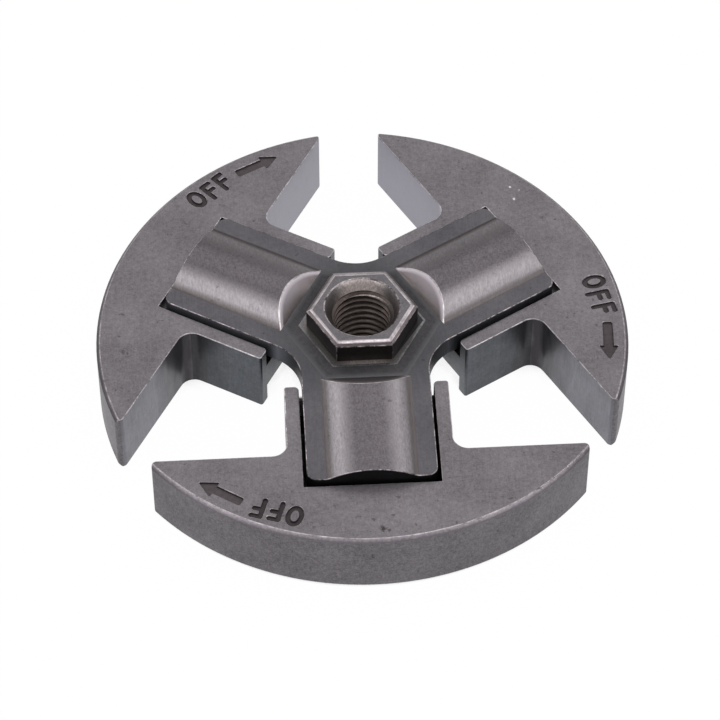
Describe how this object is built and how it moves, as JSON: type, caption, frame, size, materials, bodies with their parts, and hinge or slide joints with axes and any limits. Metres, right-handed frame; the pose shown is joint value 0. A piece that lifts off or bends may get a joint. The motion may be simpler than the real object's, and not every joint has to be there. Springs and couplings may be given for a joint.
{
  "type": "chainsaw clutch",
  "caption": "Centrifugal clutch: a hub with arms, a hexagon boss and a threaded hole carries horned shoes that slide outward against coil springs.",
  "frame": {"origin": "on the axis of the threaded hole, in the plane of the clutch's underside", "axes": "+Z along the axis from the underside towards the hexagon; the front arm points along -Y, the others at 120 degrees"},
  "size_m": [0.0824, 0.0823, 0.0166],
  "materials": {
    "hub_steel": "satin sintered steel, dark oiled grey, brushed over the bulges",
    "shoe_steel": "satin sintered steel, grey, faintly mottled",
    "spring_steel": "oiled spring wire"
  },
  "bodies": {
    "hub": {"hub": "hub_steel", "spring_front": "spring_steel", "spring_right": "spring_steel", "spring_left": "spring_steel"},
    "shoe_front": {"shoe_front": "shoe_steel"},
    "shoe_right": {"shoe_right": "shoe_steel"},
    "shoe_left": {"shoe_left": "shoe_steel"}
  },
  "joints": [
    {"name": "slide_front", "type": "slide", "parent": "hub", "child": "shoe_front", "axis": [0, -1, 0], "range_m": [0, 0.00185], "stiffness_N_per_m": 41000, "springref_m": -0.0002, "deforming": ["spring_front"]},
    {"name": "slide_right", "type": "slide", "parent": "hub", "child": "shoe_right", "axis": [0.866, 0.5, 0], "range_m": [0, 0.00185], "stiffness_N_per_m": 41000, "springref_m": -0.0002, "deforming": ["spring_right"]},
    {"name": "slide_left", "type": "slide", "parent": "hub", "child": "shoe_left", "axis": [-0.866, 0.5, 0], "range_m": [0, 0.00185], "stiffness_N_per_m": 41000, "springref_m": -0.0002, "deforming": ["spring_left"]}
  ]
}
